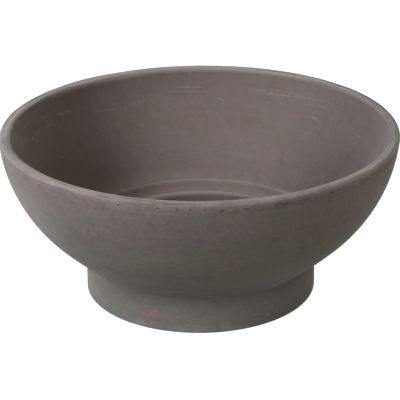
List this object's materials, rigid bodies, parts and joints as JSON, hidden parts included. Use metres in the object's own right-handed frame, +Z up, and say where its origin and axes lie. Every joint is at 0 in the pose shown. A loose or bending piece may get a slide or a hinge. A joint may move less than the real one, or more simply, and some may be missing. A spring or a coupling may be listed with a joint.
{
  "type": "footed planter bowl",
  "caption": "Low round planter bowl in unglazed clay: a wide bowl with a rolled rim on a short hollow foot that has a deep well and a drain hole.",
  "frame": {"origin": "centre of the foot, on the surface that it stands on", "axes": "+Z up along the bowl's axis, +X and +Y level and free to choose, since the bowl is round"},
  "size_m": [0.3599, 0.36, 0.155],
  "materials": {
    "bowl_clay": "matte, unglazed, mottled",
    "rim_clay": "matte, unglazed, pale from wiping",
    "foot_clay": "matte, unglazed, mottled",
    "slip_clay": "matte, unglazed, fine",
    "coil_clay": "matte, unglazed, smoothed"
  },
  "bodies": {
    "root": {"bowl": "bowl_clay", "rim_roll": "rim_clay", "foot": "foot_clay", "seam_slip": "slip_clay", "seam_coil": "coil_clay"}
  },
  "joints": []
}
